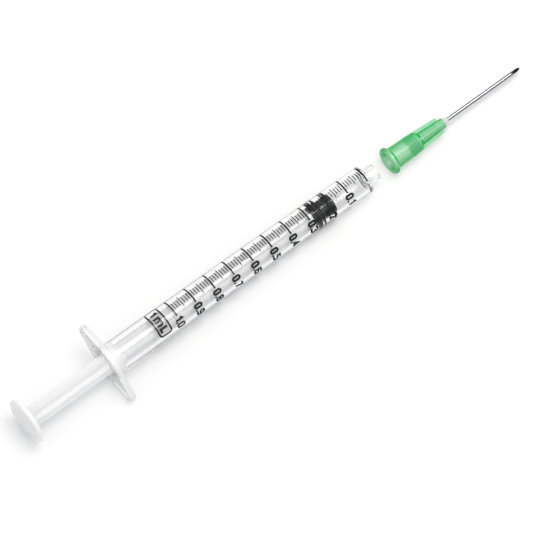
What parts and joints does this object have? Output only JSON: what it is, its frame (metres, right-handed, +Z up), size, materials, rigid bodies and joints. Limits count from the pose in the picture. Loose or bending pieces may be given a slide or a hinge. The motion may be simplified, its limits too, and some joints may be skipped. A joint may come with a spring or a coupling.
{
  "type": "syringe with needle",
  "caption": "One-millilitre slip-tip syringe with a long slim barrel, oval finger flange, sliding plunger and a finned needle hub with its steel needle drawn off the nozzle.",
  "frame": {"origin": "the barrel's axis at the back face of the finger flange", "axes": "+X along the barrel towards the needle (the barrel itself points 1.27 degrees below +X as it lies), +Y across the wings to the far side, +Z up"},
  "size_m": [0.1388, 0.0184, 0.0109],
  "materials": {
    "clear_polypropylene": "clear, glossy, slightly hazy",
    "milky_polypropylene": "translucent, satin",
    "black_rubber": "smooth, siliconised",
    "green_polypropylene": "translucent, glossy",
    "epoxy": "cloudy, smooth",
    "stainless_steel": "drawn tube, bright",
    "black_ink": "screen printed scale on the barrel"
  },
  "bodies": {
    "barrel": {"barrel": "clear_polypropylene"},
    "stopper": {"stopper": "black_rubber"},
    "plunger": {"plunger_rod": "milky_polypropylene"},
    "needle": {"needle_hub": "green_polypropylene", "adhesive": "epoxy", "cannula": "stainless_steel"}
  },
  "joints": [
    {"name": "plunger_slide", "type": "slide", "parent": "barrel", "child": "stopper", "axis": [0.9998, 0, -0.0222], "range_m": [-0.0542, 0.0086]},
    {"name": "plunger_turn", "type": "hinge", "parent": "stopper", "child": "plunger", "pos_m": [0.05679, 0, -0.00126], "axis": [0.9998, 0, -0.0222], "continuous": true},
    {"name": "needle_push_on", "type": "slide", "parent": "barrel", "child": "needle", "axis": [0.9998, 0, -0.0222], "range_m": [-0.0062, 0]}
  ]
}
